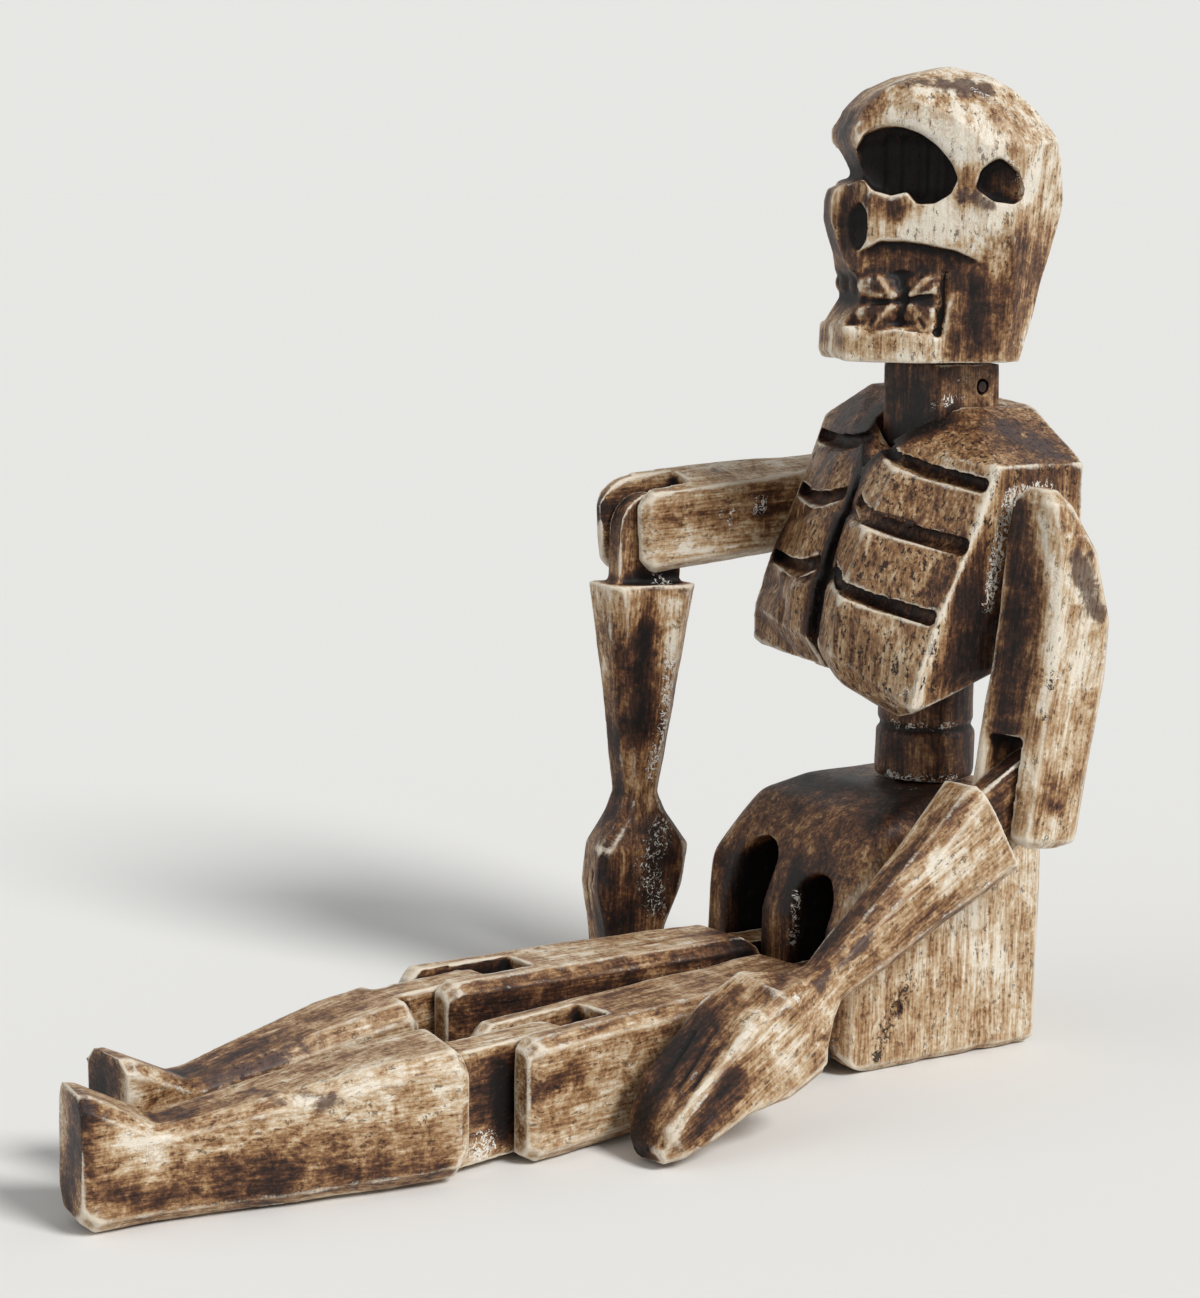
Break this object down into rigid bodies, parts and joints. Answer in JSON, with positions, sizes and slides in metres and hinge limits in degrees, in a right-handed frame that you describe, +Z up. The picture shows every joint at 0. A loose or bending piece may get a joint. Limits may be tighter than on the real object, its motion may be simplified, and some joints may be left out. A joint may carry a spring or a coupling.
{
  "type": "articulated wooden skeleton puppet",
  "caption": "Carved wooden skeleton puppet sitting with its legs out in front, its head and chest turning on pegs and its arms and legs swinging on pins.",
  "frame": {"origin": "middle of the pelvis's flat underside, on the surface that the figure sits on", "axes": "+Z up; -Y the way the figure's legs point; +X towards the figure's left hand"},
  "size_m": [0.1239, 0.2691, 0.2365],
  "materials": {
    "bone_paint": "cream bone paint, antiqued brown in the hollows and worn at the edges, satin varnish",
    "brown_paint": "ochre and brown stain with cream worn edges, satin varnish",
    "umber_paint": "dark umber stain, satin varnish",
    "dowel": "dark sunk dowel ends, dull"
  },
  "bodies": {
    "pelvis": {"pelvis": "brown_paint", "waist_peg": "umber_paint", "hip_pin_left": "dowel", "hip_pin_right": "dowel"},
    "chest": {"chest": "brown_paint", "neck_peg": "umber_paint", "neck_pin": "dowel", "shoulder_pin_left": "dowel", "shoulder_pin_right": "dowel"},
    "head": {"skull": "bone_paint"},
    "upper_arm_left": {"upper_arm_left": "bone_paint", "elbow_pin_left": "dowel"},
    "forearm_left": {"forearm_left": "bone_paint"},
    "upper_arm_right": {"upper_arm_right": "bone_paint", "elbow_pin_right": "dowel"},
    "forearm_right": {"forearm_right": "bone_paint"},
    "thigh_left": {"thigh_left": "bone_paint", "knee_pin_left": "dowel"},
    "shin_left": {"shin_left": "bone_paint"},
    "thigh_right": {"thigh_right": "bone_paint", "knee_pin_right": "dowel"},
    "shin_right": {"shin_right": "bone_paint"}
  },
  "joints": [
    {"name": "waist_turn", "type": "hinge", "parent": "pelvis", "child": "chest", "pos_m": [0, 0.011, 0.0845], "axis": [0, 0, 1], "range_deg": [-2, 15]},
    {"name": "head_turn", "type": "hinge", "parent": "chest", "child": "head", "pos_m": [0.00006, 0.0126, 0.16635], "axis": [0, 0, 1], "range_deg": [-90, 90]},
    {"name": "shoulder_left", "type": "hinge", "parent": "chest", "child": "upper_arm_left", "pos_m": [0.04744, 0.01144, 0.127], "axis": [-0.9994, 0.0349, 0], "range_deg": [-51, 154]},
    {"name": "elbow_left", "type": "hinge", "parent": "upper_arm_left", "child": "forearm_left", "pos_m": [0.04724, 0.00549, 0.07031], "axis": [-0.9994, 0.0349, 0], "range_deg": [-148, 45]},
    {"name": "shoulder_right", "type": "hinge", "parent": "chest", "child": "upper_arm_right", "pos_m": [-0.0473, 0.01475, 0.127], "axis": [0.9994, -0.0349, 0], "range_deg": [-74, 130]},
    {"name": "elbow_right", "type": "hinge", "parent": "upper_arm_right", "child": "forearm_right", "pos_m": [-0.04923, -0.04055, 0.12274], "axis": [0.9994, -0.0349, 0], "range_deg": [-144, 11]},
    {"name": "hip_left", "type": "hinge", "parent": "pelvis", "child": "thigh_left", "pos_m": [0.0155, -0.021, 0.015], "axis": [-0.9833, -0.1822, 0], "range_deg": [-90, 10]},
    {"name": "knee_left", "type": "hinge", "parent": "thigh_left", "child": "shin_left", "pos_m": [0.03381, -0.11982, 0.01447], "axis": [-0.9833, -0.1822, 0], "range_deg": [-85, 8]},
    {"name": "hip_right", "type": "hinge", "parent": "pelvis", "child": "thigh_right", "pos_m": [-0.0105, -0.021, 0.015], "axis": [0.9945, 0.1045, 0], "range_deg": [-10, 90]},
    {"name": "knee_right", "type": "hinge", "parent": "thigh_right", "child": "shin_right", "pos_m": [-0.00016, -0.11942, 0.01776], "axis": [0.9945, 0.1045, 0], "range_deg": [-8, 85]}
  ]
}
